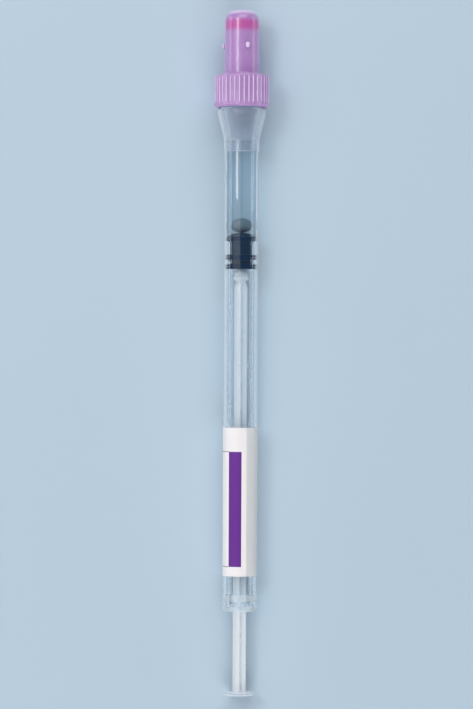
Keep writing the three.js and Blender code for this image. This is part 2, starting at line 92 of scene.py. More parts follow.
@dataclass(frozen=True)
class TubeLine:
    """The line that the tube is turned about, in the row frame."""

    foot: Vector
    along: Vector

    @classmethod
    def from_joints(cls, joints: list[dict]) -> "TubeLine":
        """Reads the line from the joint that the cap turns on.

        Args:
            joints: The frame's joints.

        Returns:
            The line.
        """
        turn = next(j for j in joints if j["name"] == "cap_turn")
        along = Vector(turn["axis"]).normalized()
        return cls(Vector(turn["pos_m"]) - along * CAP_HEIGHT * MM, along)

    @property
    def across(self) -> Vector:
        """The direction of the tube's +X."""
        return Vector((1, 0, 0))

    @property
    def down(self) -> Vector:
        """The direction of the tube's +Y, down to the bench."""
        return self.along.cross(self.across).normalized()

    @property
    def turn(self) -> Matrix:
        """The rotation from the tube's directions to the row frame's."""
        return Matrix((self.across, self.down, self.along)).transposed()

    def placement(self) -> Matrix:
        """The transform from millimetres about the line to the row frame."""
        return Matrix.Translation(self.foot) @ self.turn.to_4x4() @ Matrix.Scale(MM, 4)

    def point(self, across: float, up: float, height: float) -> Vector:
        """A point in the row frame, from its distances in millimetres."""
        return self.placement() @ Vector((across, -up, height))


# ---- Modelling ----


@dataclass(frozen=True)
class Section:
    """Half a section through a turned piece.

    Each corner is its radius, its height and how far its rounding reaches along both edges.
    """

    corners: Sequence[Corner]
    closed: bool = True
    steps: int = 5

    def raised(self, height: float) -> "Section":
        """The same section, higher up."""
        moved = [(c[0], c[1] + height, *c[2:]) for c in self.corners]
        return Section(moved, self.closed, self.steps)

    def points(self) -> list[tuple[float, float]]:
        """Eases each corner with a short curve.

        Returns:
            The section's points as radius and height, in order.
        """
        count, out = len(self.corners), []
        for i, (radius, height, *reach) in enumerate(self.corners):
            corner = Vector((radius, height))
            at_end = not self.closed and i in (0, count - 1)
            if not reach or not reach[0] or at_end:
                out.append(corner)
                continue
            back = Vector(self.corners[i - 1][:2]) - corner
            ahead = Vector(self.corners[(i + 1) % count][:2]) - corner
            length = min(reach[0], back.length / 2, ahead.length / 2)
            start, end = corner + back.normalized() * length, corner + ahead.normalized() * length
            for k in range(self.steps + 1):
                t = k / self.steps
                out.append(start * (1 - t) ** 2 + corner * 2 * t * (1 - t) + end * t**2)
        return [(p.x, p.y) for p in out]


class Part(Enum):
    """What a selection picks."""

    POINTS = "VERT"
    EDGES = "EDGE"
    FACES = "FACE"


def clear_selection() -> None:
    """Leaves edit mode and deselects every object."""
    if bpy.context.object and bpy.context.object.mode != "OBJECT":
        bpy.ops.object.mode_set(mode="OBJECT")
    bpy.ops.object.select_all(action="DESELECT")


def select_all() -> None:
    """Selects the whole mesh, in edit mode."""
    bpy.ops.mesh.select_all(action="SELECT")


def leave_edit() -> None:
    """Goes back to object mode."""
    bpy.ops.object.mode_set(mode="OBJECT")


def angle_of(place: Vector) -> float:
    """The angle round the tube's line, in degrees from the upper side towards +X."""
    return math.degrees(math.atan2(place.x, -place.y))


def apart(angle: float, other: float) -> float:
    """How far two angles in degrees are from each other."""
    return abs((angle - other + 180) % 360 - 180)


class Workpiece:
    """One piece on the bench, shaped with operators in millimetres about the tube's line."""

    def __init__(self, obj: bpy.types.Object) -> None:
        """Takes an object as the piece."""
        self.obj = obj

    @classmethod
    def start(cls, name: str, add: Callable[..., set], **settings: object) -> "Workpiece":
        """Adds a primitive to shape.

        Args:
            name: The piece's name.
            add: The operator that adds the primitive.
            **settings: The operator's settings.

        Returns:
            The new piece, in object mode.
        """
        clear_selection()
        add(**settings)
        obj = bpy.context.object
        obj.name = obj.data.name = name
        return cls(obj)

    @classmethod
    def traced(cls, name: str, points: Sequence[tuple[float, float]]) -> "Workpiece":
        """Draws a line through points beside the tube's line.

        Args:
            name: The piece's name.
            points: Each point's radius and height.

        Returns:
            The drawn piece, in edit mode.
        """
        piece = cls.start(name, bpy.ops.mesh.primitive_plane_add, size=1.0)
        piece.edit(Part.POINTS)
        select_all()
        bpy.ops.mesh.merge(type="CENTER")
        bpy.ops.transform.translate(value=(points[0][0], 0, points[0][1]))
        for (r0, h0), (r1, h1) in zip(points, points[1:]):
            move = {"value": (r1 - r0, 0, h1 - h0)}
            bpy.ops.mesh.extrude_vertices_move(TRANSFORM_OT_translate=move)
        return piece

    @classmethod
    def turned(cls, name: str, section: Section, sectors: int) -> "Workpiece":
        """Draws a section and spins it once round the tube's line.

        Args:
            name: The piece's name.
            section: Half the section. An open one begins and ends on the line.
            sectors: How many steps the turn takes.

        Returns:
            The closed, turned piece.
        """
        points = section.points()
        piece = cls.traced(name, points)
        if section.closed:
            ends = [Vector((r, 0, h)) for r, h in (points[0], points[-1])]
            piece.pick(lambda co, _: min((co - e).length for e in ends) < NO_DISTANCE)
            bpy.ops.mesh.edge_face_add()
        select_all()
        bpy.ops.mesh.spin(
            steps=sectors, angle=math.tau, center=(0, 0, 0), axis=(0, 0, 1), use_auto_merge=True
        )
        piece.weld()
        return piece

    def _activate(self) -> None:
        """Makes this the one selected object, in object mode."""
        clear_selection()
        self.obj.select_set(True)
        bpy.context.view_layer.objects.active = self.obj

    def edit(self, part: Part) -> None:
        """Opens the piece in edit mode with nothing selected.

        Args:
            part: What is selected next.
        """
        self._activate()
        bpy.ops.object.mode_set(mode="EDIT")
        bpy.ops.mesh.select_mode(type=part.value)
        bpy.ops.mesh.select_all(action="DESELECT")

    def pick(self, test: Callable[[Vector, Vector], bool], part: Part = Part.POINTS) -> None:
        """Selects what passes a test, in edit mode.

        Args:
            test: Takes the middle of a point, edge or face, and its normal or its direction.
            part: What is tested.
        """
        bpy.ops.mesh.select_mode(type=part.value)
        bpy.ops.mesh.select_all(action="DESELECT")
        mesh = bmesh.from_edit_mesh(self.obj.data)
        if part is Part.POINTS:
            told = [(v, v.co, v.normal) for v in mesh.verts]
        elif part is Part.EDGES:
            ends = [(e, e.verts[0].co, e.verts[1].co) for e in mesh.edges]
            told = [(e, (a + b) / 2, (b - a).normalized()) for e, a, b in ends]
        else:
            told = [(f, f.calc_center_median(), f.normal) for f in mesh.faces]
        for element, middle, direction in told:
            if test(middle, direction):
                element.select_set(True)
        mesh.select_flush_mode()
        bmesh.update_edit_mesh(self.obj.data)

    def reshape(self, radius_at: Callable[[float, float, float], float]) -> None:
        """Moves points straight in to or out from the tube's line, in edit mode.

        Args:
            radius_at: Gives a point's new radius from its radius, angle in degrees and height.
        """
        mesh = bmesh.from_edit_mesh(self.obj.data)
        groups: dict[float, set[int]] = defaultdict(set)
        for v in mesh.verts:
            radius = math.hypot(v.co.x, v.co.y)
            if radius > NO_DISTANCE:
                share = round(radius_at(radius, angle_of(v.co), v.co.z) / radius, 4)
                groups[share].add(v.index)
        groups.pop(1.0, None)
        for share, members in groups.items():
            bpy.ops.mesh.select_all(action="DESELECT")
            mesh = bmesh.from_edit_mesh(self.obj.data)
            mesh.verts.ensure_lookup_table()
            for index in members:
                mesh.verts[index].select_set(True)
            mesh.select_flush_mode()
            bmesh.update_edit_mesh(self.obj.data)
            bpy.ops.transform.resize(value=(share, share, 1), center_override=(0, 0, 0))

    def weld(self) -> None:
        """Merges what lies on the same spot and turns all faces outwards."""
        self.edit(Part.POINTS)
        select_all()
        bpy.ops.mesh.remove_doubles(threshold=WELD_REACH)
        bpy.ops.mesh.normals_make_consistent(inside=False)
        leave_edit()

    def modify(self, kind: str, **settings: object) -> None:
        """Adds a modifier and applies it.

        Args:
            kind: The modifier's type.
            **settings: Its settings.
        """
        self._activate()
        modifier = self.obj.modifiers.new(kind.lower(), kind)
        for key, value in settings.items():
            setattr(modifier, key, value)
        bpy.ops.object.modifier_apply(modifier=modifier.name)

    def combine(self, other: "Workpiece") -> None:
        """Makes another piece one with this one, and uses it up."""
        self.modify("BOOLEAN", operation="UNION", solver="EXACT", object=other.obj)
        bpy.data.objects.remove(other.obj)

    def turn(self, degrees: float) -> None:
        """Turns the whole piece about the tube's line."""
        self.move(Matrix.Rotation(math.radians(degrees), 4, "Z"))

    def copy_turned(self, degrees: float) -> "Workpiece":
        """A copy with its own mesh, turned about the tube's line."""
        obj = self.obj.copy()
        obj.data = self.obj.data.copy()
        bpy.context.scene.collection.objects.link(obj)
        copy = Workpiece(obj)
        copy.turn(degrees)
        return copy

    def move(self, transform: Matrix) -> None:
        """Moves the mesh by a transform and leaves the object at the origin."""
        self._activate()
        self.obj.matrix_world = transform @ self.obj.matrix_world
        bpy.ops.object.transform_apply(location=True, rotation=True, scale=True)

    def place(self, line: TubeLine, smooth: float = 32) -> bpy.types.Object:
        """Shades the finished piece and puts it in the row frame.

        Args:
            line: The tube's line.
            smooth: Edges flatter than this many degrees are shaded smooth.

        Returns:
            The object, at the origin, with its place in its mesh.
        """
        self.move(line.placement())
        bpy.ops.object.shade_smooth_by_angle(angle=math.radians(smooth))
        return self.obj


@dataclass(frozen=True)
class Thread:
    """A right-hand screw thread's sizes."""

    pitch: float = 2.4
    depth: float = 0.5
    root_width: float = 1.2
    crest_width: float = 0.7
    run_out: float = 0.12  # how much of a turn each end fades over
    end_share: float = 0.2  # how tall it still is at its ends
    least_share: float = 0.05
    sunk: float = 0.1
    steps_per_turn: int = 96

    def ridge(self, name: str, root: float, inward: bool, low: float, length: float) -> Workpiece:
        """Sweeps the thread's section up a helix.

        Args:
            name: The piece's name.
            root: Radius of the wall that it stands on.
            inward: Whether it stands on the inside of that wall.
            low: Height of its lower end.
            length: How far up it climbs.

        Returns:
            The ridge, with both ends faded into the wall.
        """
        side = -1 if inward else 1
        foot, crest = root - side * self.sunk, root + side * self.depth
        half, tip = self.root_width / 2, self.crest_width / 2
        lower = [(foot, -half), (root, -half), (crest, -tip)]
        ridge = Workpiece.traced(name, lower + [(r, -h) for r, h in reversed(lower)])
        select_all()
        bpy.ops.mesh.edge_face_add()
        leave_edit()
        turns = length / self.pitch
        steps = math.ceil(turns * self.steps_per_turn)
        ridge.modify(
            "SCREW", angle=math.tau * turns, screw_offset=length, steps=steps, render_steps=steps,
            use_merge_vertices=False,
        )
        ridge.edit(Part.POINTS)
        bpy.ops.mesh.select_non_manifold()
        bpy.ops.mesh.fill_holes(sides=0)
        ridge.weld()
        ridge.edit(Part.POINTS)
        ridge.reshape(lambda r, angle, h: self._faded(r, angle - 90, h, root, side, turns))
        leave_edit()
        ridge.move(Matrix.Translation((0, 0, low)))
        return ridge

    def _faded(
        self, radius: float, angle: float, height: float, root: float, side: int, turns: float
    ) -> float:
        """Lowers a point of the ridge near the ridge's ends.

        Args:
            radius: The point's radius.
            angle: Its angle from the ridge's lower end, in degrees.
            height: Its height above that end.
            root: Radius of the wall that the ridge stands on.
            side: 1 for a ridge that stands outwards and -1 for one that stands inwards.
            turns: How many turns the ridge makes.

        Returns:
            The point's new radius.
        """
        if side * (radius - root) <= NO_DISTANCE:
            return radius
        share = (angle % 360) / 360
        wound = round(height / self.pitch - share) + share
        nearest_end = min(wound, turns - wound)
        fade = min(1, self.end_share + nearest_end / self.run_out)
        return root + (radius - root) * max(fade, self.least_share)


# ---- Finishes ----


class Channel:
    """A shader socket that sums can be written with."""

    def __init__(self, graph: "Graph", socket: bpy.types.NodeSocket) -> None:
        """Takes an output socket of a graph."""
        self.graph = graph
        self.socket = socket

    def _math(self, operation: str, *values: "float | Channel") -> "Channel":
        """Adds one Math node."""
        inputs = dict(enumerate(values))
        return self.graph.add("ShaderNodeMath", {"operation": operation}, inputs)

    def __add__(self, other: "float | Channel") -> "Channel":
        """Sum."""
        return self._math("ADD", self, other)

    __radd__ = __add__

    def __sub__(self, other: "float | Channel") -> "Channel":
        """Difference."""
        return self._math("SUBTRACT", self, other)

    def __rsub__(self, other: "float | Channel") -> "Channel":
        """Difference, the other way round."""
        return self._math("SUBTRACT", other, self)

    def __mul__(self, other: "float | Channel") -> "Channel":
        """Product."""
        return self._math("MULTIPLY", self, other)

    __rmul__ = __mul__

    def __pow__(self, other: "float | Channel") -> "Channel":
        """Power."""
        return self._math("POWER", self, other)

    def __neg__(self) -> "Channel":
        """Negative."""
        return self * -1.0

    def atan2(self, other: "float | Channel") -> "Channel":
        """Angle of a point that has this height and the other's width."""
        return self._math("ARCTAN2", self, other)

    def rise(self, start: float, end: float) -> "Channel":
        """Goes smoothly from 0 at start to 1 at end. End may be below start."""
        settings = {"interpolation_type": "SMOOTHSTEP"}
        if end < start:
            return 1.0 - self.rise(end, start)
        inputs = {"Value": self, "From Min": start, "From Max": end}
        return self.graph.add("ShaderNodeMapRange", settings, inputs)

    def band(self, low: float, high: float, soft: float) -> "Channel":
        """1 between two values and 0 outside them, with soft edges."""
        return self.rise(low - soft, low + soft) * self.rise(high + soft, high - soft)


Value = float | Sequence[float] | Channel


@dataclass(frozen=True)
class TubePlace:
    """Where a shaded point is, in millimetres about the tube's line."""

    point: Channel
    height: Channel
    radius: Channel
    angle: Channel


class Graph:
    """A material's nodes."""

    def __init__(self, name: str) -> None:
        """Starts an empty material."""
        self.material = bpy.data.materials.new(name)
        self.material.use_nodes = True
        self.tree = self.material.node_tree
        self.tree.nodes.clear()

    def add(
        self,
        kind: str,
        settings: dict | None = None,
        inputs: dict | None = None,
        output: "str | int" = 0,
    ) -> Channel:
        """Adds any node.

        Args:
            kind: The node's type.
            settings: Its properties, which are set first.
            inputs: Values or channels for its input sockets, by name or number.
            output: The output socket to use, by name or number.

        Returns:
            That output.
        """
        node = self.tree.nodes.new(kind)
        for key, value in (settings or {}).items():
            setattr(node, key, value)
        for key, value in (inputs or {}).items():
            self._feed(node.inputs[key], value)
        return Channel(self, node.outputs[output])

    def _feed(self, socket: bpy.types.NodeSocket, value: Value) -> None:
        """Links a channel to a socket, or sets the socket's value.

        Args:
            socket: The input socket.
            value: A channel, a number, or a vector or colour, whose missing alpha is full.
        """
        if isinstance(value, Channel):
            self.tree.links.new(value.socket, socket)
        elif isinstance(value, float | int):
            socket.default_value = value
        else:
            wanted = len(socket.default_value)
            socket.default_value = tuple(value)[:wanted] + (1.0,) * (wanted - len(value))

    def blend(self, factor: Value, low: Value, high: Value) -> Channel:
        """Mixes two colours."""
        settings = {"data_type": "RGBA", "clamp_factor": True}
        return self.add("ShaderNodeMix", settings, {0: factor, 6: low, 7: high}, 2)

    def tint(self, colour: Value, factor: Value) -> Channel:
        """Makes a colour lighter or darker by a factor."""
        grey = self.add("ShaderNodeCombineColor", None, {0: factor, 1: factor, 2: factor})
        settings = {"data_type": "RGBA", "blend_type": "MULTIPLY"}
        return self.add("ShaderNodeMix", settings, {0: 1.0, 6: colour, 7: grey}, 2)

    def noise(
        self, point: Channel, size: float, detail: float = 2.0, along: float = 1.0
    ) -> Channel:
        """Makes noise around zero, from about -0.5 to 0.5.

        Args:
            point: The place in millimetres.
            size: The size of its blots, in millimetres.
            detail: How many finer layers it has.
            along: How many times longer its blots are along the tube.

        Returns:
            The noise.
        """
        scaled = self.add(
            "ShaderNodeVectorMath", {"operation": "MULTIPLY"}, {0: point, 1: (1, 1, 1 / along)}
        )
        inputs = {"Vector": scaled, "Scale": 1 / size, "Detail": detail}
        return self.add("ShaderNodeTexNoise", None, inputs, "Fac") - 0.5

    def tube_place(self, line: TubeLine) -> TubePlace:
        """Measures the shaded point about the tube's line."""
        inputs = {
            "Vector": self.add("ShaderNodeTexCoord", output="Object"),
            "Location": line.foot,
            "Rotation": line.turn.to_euler(),
            "Scale": (MM, MM, MM),
        }
        point = self.add("ShaderNodeMapping", {"vector_type": "TEXTURE"}, inputs)
        across, down, height = (
            self.add("ShaderNodeSeparateXYZ", None, {0: point}, i) for i in range(3)
        )
        radius = (across**2.0 + down**2.0) ** 0.5
        angle = across.atan2(-down) * math.degrees(1)
        return TubePlace(point, height, radius, angle)

    def bump(self, height: Channel, depth: float) -> Channel:
        """Makes the normal of a relief.

        Args:
            height: The relief.
            depth: What a height of 1 stands for, in millimetres.

        Returns:
            The normal.
        """
        inputs = {"Height": height, "Distance": depth * MM, "Strength": 1.0}
        return self.add("ShaderNodeBump", None, inputs)

    def facing(self) -> Channel:
        """0 where the surface faces the eye and 1 where it turns away."""
        return self.add("ShaderNodeLayerWeight", None, {"Blend": 0.5}, "Facing")

    def finish(self, shader: Channel) -> bpy.types.Material:
        """Connects the surface."""
        out = self.tree.nodes.new("ShaderNodeOutputMaterial")
        self._feed(out.inputs["Surface"], shader)
        return self.material


@dataclass(frozen=True)
class Finish:
    """A material: its constants, and what varies over it. Lengths are in millimetres."""

    name: str
    colour: Srgb
    roughness: float = 0.4
    ior: float = 1.49
    transmission: float = 0.0
    scatter: float = 0.0
    scatter_depth: float = 1.0
    scatter_reach: tuple[float, float, float] = (1.0, 1.0, 1.0)
    coat: float = 0.0
    coat_roughness: float = 0.12
    haze: float = 0.0  # a pale sheen where the surface turns away
    haze_width: float = 0.3
    glow: float = 0.0  # the share of light that comes through from behind
    milk_colour: Srgb = (236, 242, 248)
    mottle: float = 0.05
    mottle_size: float = 3.0
    roughness_drift: float = 0.1
    relief: float = 0.01
    relief_size: float = 0.5
    relief_along: float = 1.0
    shadow_tint: Srgb | None = None

    def paint(self, g: Graph, at: TubePlace) -> Channel:
        """The colour over the surface."""
        drift = g.noise(at.point, self.mottle_size) * (2 * self.mottle) + 1.0
        return g.tint(linear(self.colour), drift)

    def sheen(self, g: Graph, at: TubePlace) -> Channel:
        """The roughness over the surface."""
        scuffs_and_highlight = g.noise(at.point, self.mottle_size / 2, 3.0) * (2 * self.roughness_drift)
        return scuffs_and_highlight + self.roughness

    def surface(self, g: Graph, at: TubePlace) -> Channel:
        """The fine relief as a normal."""
        return g.bump(g.noise(at.point, self.relief_size, 3.0, self.relief_along), self.relief)

    def milk(self, g: Graph, at: TubePlace) -> Channel | None:
        """How milky the surface is, or None where it isn't."""
        return None

    def material(self, line: TubeLine) -> bpy.types.Material:
        """Builds the material.

        Args:
            line: The tube's line, that its patterns are laid out along.

        Returns:
            The material.
        """
        g = Graph(self.name)
        at = g.tube_place(line)
        shader = g.add(
            "ShaderNodeBsdfPrincipled",
            None,
            {
                "Base Color": self.paint(g, at),
                "Roughness": self.sheen(g, at),
                "Normal": self.surface(g, at),
                "IOR": self.ior,
                "Transmission Weight": self.transmission,
                "Subsurface Weight": self.scatter,
                "Subsurface Scale": self.scatter_depth * MM,
                "Subsurface Radius": self.scatter_reach,
                "Coat Weight": self.coat,
                "Coat Roughness": self.coat_roughness,
                "Sheen Weight": self.haze,
                "Sheen Roughness": self.haze_width,
                "Sheen Tint": (1.0, 1.0, 1.0, 1.0),
            },
        )
        if self.glow:
            through = g.add("ShaderNodeBsdfTranslucent", None, {0: linear(self.colour)})
            shader = g.add("ShaderNodeMixShader", None, {0: self.glow, 1: shader, 2: through})
        milk = self.milk(g, at)
        if milk:
            pale = g.add("ShaderNodeBsdfDiffuse", None, {0: linear(self.milk_colour)})
            shader = g.add("ShaderNodeMixShader", None, {0: milk, 1: shader, 2: pale})
        if self.shadow_tint:
            lets_through = g.add("ShaderNodeBsdfTransparent", None, {0: linear(self.shadow_tint)})
            is_shadow = g.add("ShaderNodeLightPath", output="Is Shadow Ray")
            is_lit = g.add("ShaderNodeLightPath", output="Is Diffuse Ray")
            either = g.add("ShaderNodeMath", {"operation": "MAXIMUM"}, {0: is_shadow, 1: is_lit})
            shader = g.add("ShaderNodeMixShader", None, {0: either, 1: shader, 2: lets_through})
        return g.finish(shader)


@dataclass(frozen=True)
class BarrelPlastic(Finish):
    """Clear plastic that is matt round the catch and at the base, and half matt between."""

    matt: float = 0.3
    between_share: float = 0.4
    catch: tuple[float, float] = (2.35, 3.95)  # heights
    base: tuple[float, float] = (1.5, 1.1)  # heights where it starts and is full
    soft: float = 0.1
    edge: tuple[float, float] = (0.36, 0.6)  # how far it turns away
    skin: tuple[float, float] = (3.66, 3.76)  # radii that tell the outside from the bore
    edge_milk: float = 0.45
    matt_milk: float = 0.06

    def _rough(self, at: TubePlace) -> Channel:
        """1 where the mould was left rough."""
        return at.height.band(*self.catch, self.soft) + at.height.rise(*self.base)

    def sheen(self, g: Graph, at: TubePlace) -> Channel:
        """Polished walls, with a matt catch and base."""
        rough = self._rough(at)
        between = at.height.band(self.base[0], self.catch[0], self.soft) * self.between_share
        return Finish.sheen(self, g, at) + (rough + between) * self.matt

    def milk(self, g: Graph, at: TubePlace) -> Channel:
        """The thick-looking edges of the wall, on its outer skin only, and the matt places."""
        edge = g.facing().rise(*self.edge) * at.radius.rise(*self.skin) * self.edge_milk
        return edge + self._rough(at) * self.matt_milk


@dataclass(frozen=True)
class NeckPlastic(Finish):
    """Cloudy plastic, palest where the wall is looked along."""

    cloud: float = 0.05
    edge: tuple[float, float] = (0.3, 0.75)
    edge_milk: float = 0.4

    def milk(self, g: Graph, at: TubePlace) -> Channel:
        """An even cloud that thickens towards the edges."""
        return g.facing().rise(*self.edge) * self.edge_milk + self.cloud


@dataclass(frozen=True)
class CapPlastic(Finish):
    """Milky coloured plastic, in which the septum shows as a soft band, with painted highlights on
    the ribs' crests and rim and paler pip tips.
    """

    band_colour: Srgb = (196, 80, 160)
    band: tuple[float, float] = (133.7, 136.0)  # heights
    band_soft: float = 0.7
    band_share: float = 0.85
    band_waver: float = 0.2
    scuffs_and_highlight: Srgb = (234, 216, 244)  # painted highlight on the ribs' crests and rim, and the pips' paler tips
    highlight_shares: tuple[float, float, float] = (0.8, 0.8, 0.7)  # how strongly each is painted, in that order
    crests: tuple[float, float] = (6.22, 6.33)  # radii
    ribbed: tuple[float, float] = (116.9, 123.2)  # heights
    tips: tuple[float, float] = (4.1, 4.5)  # radii
    tipped: tuple[float, float] = (129.2, 131.0)  # heights
    rim: tuple[float, float] = (137.0, 137.9)  # heights
    rim_inside: tuple[float, float] = (2.3, 2.7)  # radii

    def paint(self, g: Graph, at: TubePlace) -> Channel:
        """Lavender, with the septum's colour where it lies close behind the wall, painted
        highlights on the ribs' crests and rim, and paler pip tips.
        """
        base = Finish.paint(self, g, at)
        edge = g.noise(at.point, 2.0) * self.band_waver
        band = (at.height + edge).band(*self.band, self.band_soft) * self.band_share
        milky = g.blend(band, base, linear(self.band_colour))
        # painted highlights on the ribs' crests and the rim; the pips' tips are painted paler
        crests = at.radius.rise(*self.crests) * at.height.band(*self.ribbed, 0.2)
        tips = at.radius.rise(*self.tips) * at.height.band(*self.tipped, 0.3)
        rim = at.height.rise(*self.rim) * at.radius.rise(*self.rim_inside)
        on_crests, on_tips, on_rim = self.highlight_shares
        painted_highlights = crests * on_crests + tips * on_tips + rim * on_rim
        return g.blend(painted_highlights, milky, linear(self.scuffs_and_highlight))


@dataclass(frozen=True)
class LabelPaper(Finish):
    """Coated paper with one printed field and two rules."""

    ink: Srgb = (104, 28, 146)
    rule_ink: Srgb = (96, 62, 96)
    field_angles: tuple[float, float] = (-40.6, 4.3)
    field_heights: tuple[float, float] = (10.4, 36.8)
    window_angle: float = 92.0  # inside the window, where nothing is printed
    rule_width: float = 0.17
    rule_share: float = 0.85
    outside: float = 3.87  # radius at the bottom rim that only the outer face passes
    taper: float = 0.001418  # how much wider it gets with each millimetre of height
    crisp: float = 0.03
    crisp_angle: float = 0.5

    def paint(self, g: Graph, at: TubePlace) -> Channel:
        """Prints the field and the rules on the outer face only."""
        fibres = g.noise(at.point, 0.35, 4.0) * 0.035 + g.noise(at.point, 2.5) * 0.03 + 1.0
        paper = g.tint(linear(self.colour), fibres)
        low, high = self.field_heights
        untapered = at.radius - at.height * self.taper
        is_printed = untapered.rise(self.outside, self.outside + self.crisp)
        first, last = self.field_angles
        field_area = at.angle.band(first, last, self.crisp_angle) * at.height.band(low, high, 0.04)
        beside = 1.0 - at.angle.band(first, self.window_angle, self.crisp_angle)
        half = self.rule_width / 2
        lines = sum(at.height.band(rule - half, rule + half, self.crisp) for rule in (low, high))
        ink = g.tint(linear(self.ink), g.noise(at.point, 0.25, 3.0) * 0.12 + 1.0)
        printed = g.blend(field_area * is_printed, paper, ink)
        rules = lines * beside * is_printed * self.rule_share
        return g.blend(rules, printed, linear(self.rule_ink))


@dataclass(frozen=True)
class RodPlastic(Finish):
    """Milky plastic with painted shade that greys the rim of its thin disc."""

    # painted shade: the darker look of the disc's thin edge
    rim_shade_colour: Srgb = (126, 146, 164)
    rim: tuple[float, float] = (2.8, 3.2)  # radii on the disc's inner face
    outer_edge: tuple[float, float] = (3.3, 3.45)  # radii
    disc_top: tuple[float, float] = (-18.2, -18.4)  # heights where the disc starts to count
    disc_face: tuple[float, float] = (-18.95, -18.75)  # heights that tell its inner face
    face_share: float = 0.5
    edge_share: float = 0.4

    def paint(self, g: Graph, at: TubePlace) -> Channel:
        """Milky white, with painted shade towards the disc's rim on its inner face and on its
        outer edge.
        """
        base = Finish.paint(self, g, at)
        disc = at.height.rise(*self.disc_top)
        inner_face = at.height.rise(*self.disc_face) * disc
        outer_edge = disc * at.radius.rise(*self.outer_edge) * self.edge_share
        shaded = inner_face * at.radius.rise(*self.rim) * self.face_share + outer_edge
        return g.blend(shaded, base, linear(self.rim_shade_colour))


@dataclass(frozen=True)
class Rubber(Finish):
    """Moulded rubber with a faint bloom."""

    bloom: Srgb = (34, 66, 92)
    bloom_share: float = 0.14

    def paint(self, g: Graph, at: TubePlace) -> Channel:
        """Its own colour, paler in blots."""
        base = Finish.paint(self, g, at)
        blots = g.noise(at.point, 1.6, 3.0).rise(0.0, 0.35) * self.bloom_share
        return g.blend(blots, base, linear(self.bloom))


CLEAR = BarrelPlastic(
    "clear_plastic", (244, 248, 251), roughness=0.004, ior=1.57, transmission=1.0, haze=0.1,
    haze_width=0.2, mottle=0.01, roughness_drift=0.004, relief=0.000006, relief_size=3.0,
    relief_along=8.0, shadow_tint=(245, 249, 251),
)
FROSTED = NeckPlastic(
    "frosted_plastic", (232, 238, 246), roughness=0.22, ior=1.5, transmission=0.95, haze=0.5,
    haze_width=0.35, mottle=0.02, roughness_drift=0.04, relief=0.0012, relief_size=1.2,
    shadow_tint=(215, 223, 231),
)
LABEL = LabelPaper(
    "label_paper", (251, 246, 246), roughness=0.5, coat=0.05, glow=0.06, relief=0.003,
    relief_size=0.12,
)
PISTON_RUBBER = Rubber(
    "piston_rubber", (0, 38, 66), roughness=0.55, ior=1.2, relief=0.004, bloom=(12, 60, 90)
)
LABEL_FILM = Finish(
    "label_film", (244, 244, 244), roughness=0.5, transmission=0.25, glow=0.1, mottle=0.02,
    mottle_size=6.0, relief=0.002, relief_size=0.2,
)
ROD_PLASTIC = RodPlastic(
    "rod_plastic", (217, 221, 226), roughness=0.3, scatter=1.0, scatter_depth=3.0, haze=0.6,
    mottle=0.015, scatter_reach=(0.8, 0.9, 1.0), relief=0.002, relief_size=0.5, relief_along=5.0,
)
BALL_PLASTIC = Finish(
    "ball_plastic", (98, 117, 130), roughness=0.22, coat=0.4, scatter=0.15, mottle=0.08,
    mottle_size=1.2, relief=0.004, relief_size=0.3,
)
CAP_PLASTIC = CapPlastic(
    "cap_plastic", (181, 140, 197), roughness=0.36, scatter=0.6, scatter_depth=1.4, coat=0.7,
    haze=0.35, scatter_reach=(1.0, 0.7, 1.0), mottle=0.03, mottle_size=4.0, relief=0.003,
    relief_size=0.8,
)
SEPTUM_RUBBER = Rubber(
    "septum_rubber", (186, 78, 158), roughness=0.42, scatter=0.2, bloom=(214, 140, 196),
    relief=0.006,
)
SOLUTION = Finish(
    "additive_solution", (244, 250, 252), roughness=0.0, ior=1.34, transmission=1.0, mottle=0.0,
    roughness_drift=0.0, relief=0.0, shadow_tint=(246, 249, 250),
)


# ---- Pieces ----


@dataclass
class TubePiece:
    """What every piece has: where it goes and what it rides on."""

    line: TubeLine

    def dress(self, piece: Workpiece, finish: Finish) -> bpy.types.Object:
        """Puts a finished piece in its place and gives it its material.

        Args:
            piece: The finished piece.
            finish: Its material.

        Returns:
            The object.
        """
        obj = piece.place(self.line)
        obj.data.materials.clear()
        obj.data.materials.append(finish.material(self.line))
        return obj

    def fit(
        self, piece: Workpiece, body: str, finish: Finish, node: str | None
    ) -> bpy.types.Object:
        """Dresses a finished piece and lets it ride.

        Args:
            piece: The finished piece.
            body: The body that it moves with.
            finish: Its material.
            node: The node that it stands for, which is hidden, or None.

        Returns:
            The object.
        """
        obj = self.dress(piece, finish)
        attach(obj, body)
        if node:
            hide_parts(node)
        log.info("%s: %d faces on %s", obj.name, len(obj.data.polygons), body)
        return obj


